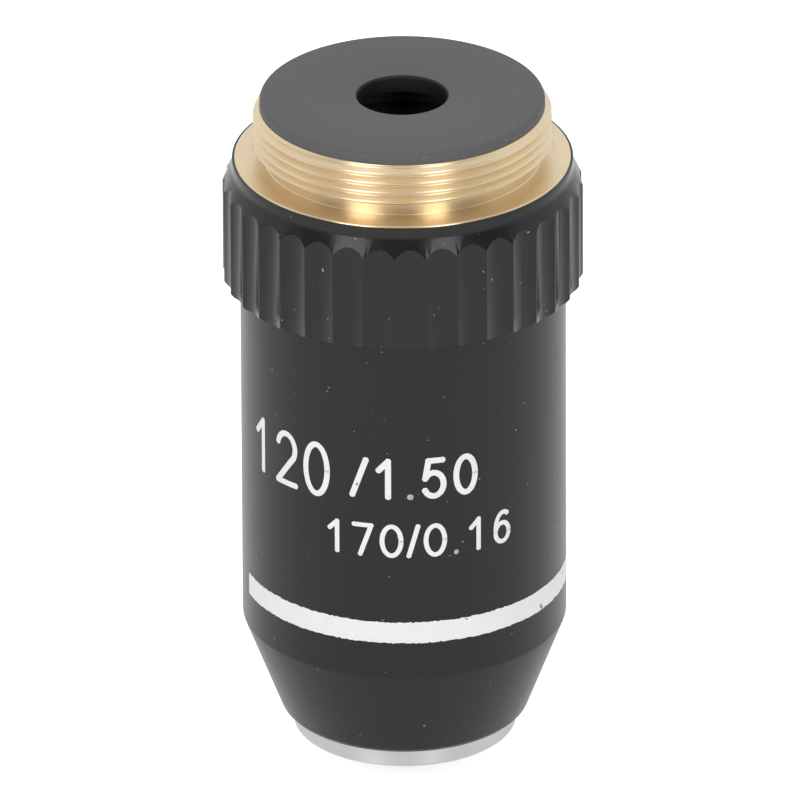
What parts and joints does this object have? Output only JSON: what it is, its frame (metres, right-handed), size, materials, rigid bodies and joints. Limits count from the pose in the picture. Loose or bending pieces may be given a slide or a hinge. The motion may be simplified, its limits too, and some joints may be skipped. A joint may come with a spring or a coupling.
{
  "type": "microscope objective",
  "caption": "High-power microscope objective: brass screw thread, fluted grip ring, black barrel with a pale band, and a plated nose that springs back into the barrel.",
  "frame": {"origin": "on the optical axis, in the plane of the shoulder face that seats on the nosepiece", "axes": "+Z along the optical axis towards the thread and the tube, -Z towards the specimen, -Y towards the side that the picture shows"},
  "size_m": [0.0246, 0.0246, 0.0493],
  "materials": {
    "turned_brass": "turned, bright",
    "blackened_brass": "blackened, matt",
    "plated_brass": "satin nickel plate",
    "black_anodised": "black anodised",
    "bright_steel": "bright",
    "spring_steel": "drawn wire",
    "crown_glass": "polished, coated",
    "flint_glass": "polished, coated"
  },
  "bodies": {
    "housing": {"mount_body": "turned_brass", "rear_cap": "black_anodised", "grip_ring": "black_anodised", "sleeve": "black_anodised", "parfocal_ring": "turned_brass", "guide_screw": "bright_steel", "retraction_spring": "spring_steel"},
    "nose": {"inner_barrel": "plated_brass", "front_cell": "plated_brass", "front_lens": "crown_glass", "meniscus_cell": "blackened_brass", "meniscus_lens": "crown_glass", "doublet_cell_front": "blackened_brass", "flint_front": "flint_glass", "crown_front": "crown_glass", "doublet_cell_rear": "blackened_brass", "flint_rear": "flint_glass", "crown_rear": "crown_glass", "spacer_front": "blackened_brass", "spacer_middle": "blackened_brass", "lens_retainer": "blackened_brass", "centring_screws": "bright_steel"}
  },
  "joints": [
    {"name": "nose_retraction", "type": "slide", "parent": "housing", "child": "nose", "axis": [0, 0, 1], "range_m": [0, 0.0025], "stiffness_N_per_m": 1000, "springref_m": -0.003, "deforming": ["retraction_spring"]}
  ]
}
